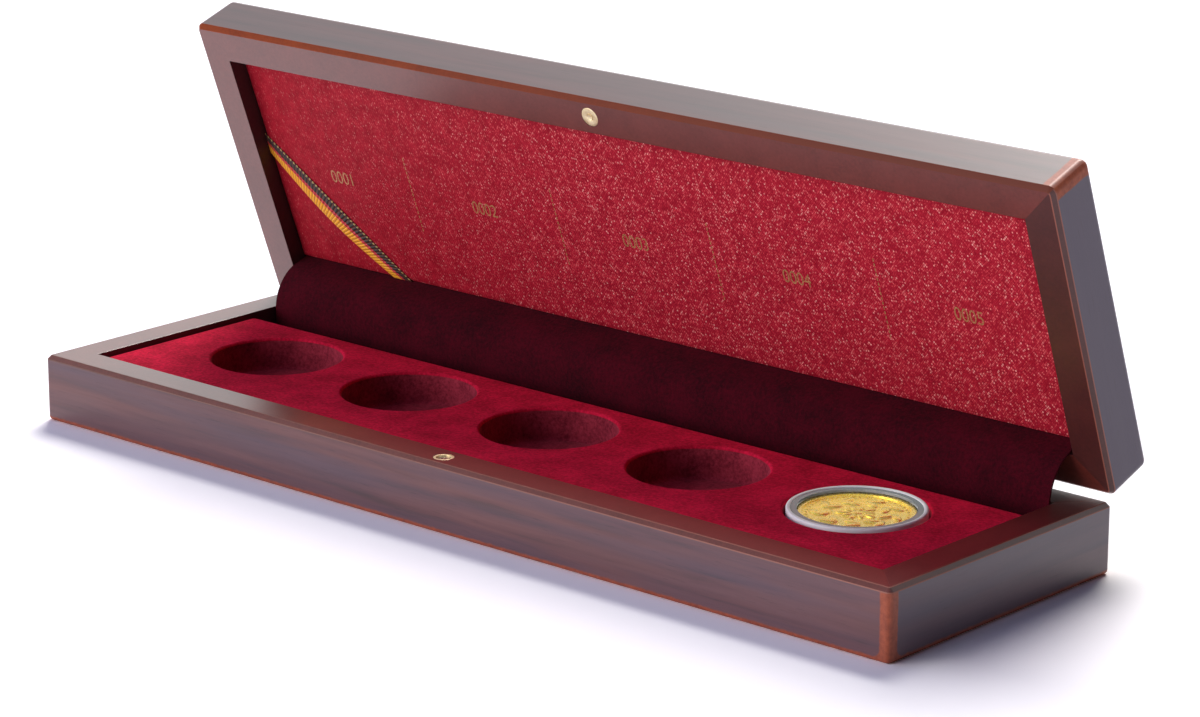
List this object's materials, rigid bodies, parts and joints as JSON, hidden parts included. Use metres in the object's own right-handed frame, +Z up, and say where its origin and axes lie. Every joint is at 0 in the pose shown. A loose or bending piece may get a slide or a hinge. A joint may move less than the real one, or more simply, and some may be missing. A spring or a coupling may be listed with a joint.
{
  "type": "coin case",
  "caption": "Long low presentation case with a hinged lid, a flocked tray of round pockets, a satin-lined lid and a gold coin in a clear capsule.",
  "frame": {"origin": "centre of the base's underside, on the surface that the case stands on", "axes": "+X along the length, to the right when the open lid is faced; +Y to the hinges at the back; +Z up"},
  "size_m": [0.28, 0.098, 0.1021],
  "materials": {
    "foil_wood": "mahogany-look foil on board, satin, with painted arrises",
    "board": "raw fibreboard",
    "felt": "thin dark felt",
    "flock": "red flock on a formed plastic tray",
    "velvet": "dark red velvet",
    "satin": "red satin twill drawn over card",
    "packing": "pale wadding",
    "ribbon": "ribbed ribbon in black, red and gold",
    "brass": "polished",
    "magnet": "nickel-plated",
    "steel": "bright wire and rod",
    "clear_plastic": "clear, polished",
    "gold": "struck gold with a polished field"
  },
  "bodies": {
    "base": {"base_front_rail": "foil_wood", "base_back_rail": "foil_wood", "base_left_rail": "foil_wood", "base_right_rail": "foil_wood", "base_bottom_panel": "board", "base_felt": "felt", "coin_tray": "flock", "velvet_strip": "velvet", "catch_ferrule": "brass", "catch_magnet": "magnet", "left_hinge_base_leaf": "brass", "right_hinge_base_leaf": "brass", "left_hinge_pin": "steel", "right_hinge_pin": "steel", "left_hinge_spring": "steel", "right_hinge_spring": "steel", "base_hinge_screws": "brass"},
    "lid": {"lid_front_rail": "foil_wood", "lid_back_rail": "foil_wood", "lid_left_rail": "foil_wood", "lid_right_rail": "foil_wood", "lid_top_panel": "foil_wood", "lining_packing": "packing", "lining_board": "satin", "ribbon": "ribbon", "catch_strike": "brass", "left_hinge_lid_leaf": "brass", "right_hinge_lid_leaf": "brass", "lid_hinge_screws": "brass"},
    "capsule": {"capsule_base": "clear_plastic", "capsule_cap": "clear_plastic", "coin": "gold"}
  },
  "joints": [
    {"name": "lid_hinge", "type": "hinge", "parent": "base", "child": "lid", "pos_m": [0, 0.0427, 0.01783], "axis": [1, 0, 0], "range_deg": [0, 70], "deforming": ["velvet_strip"]},
    {"name": "capsule_lift", "type": "slide", "parent": "base", "child": "capsule", "axis": [0, 0, 1], "range_m": [0, 0.0045]}
  ]
}
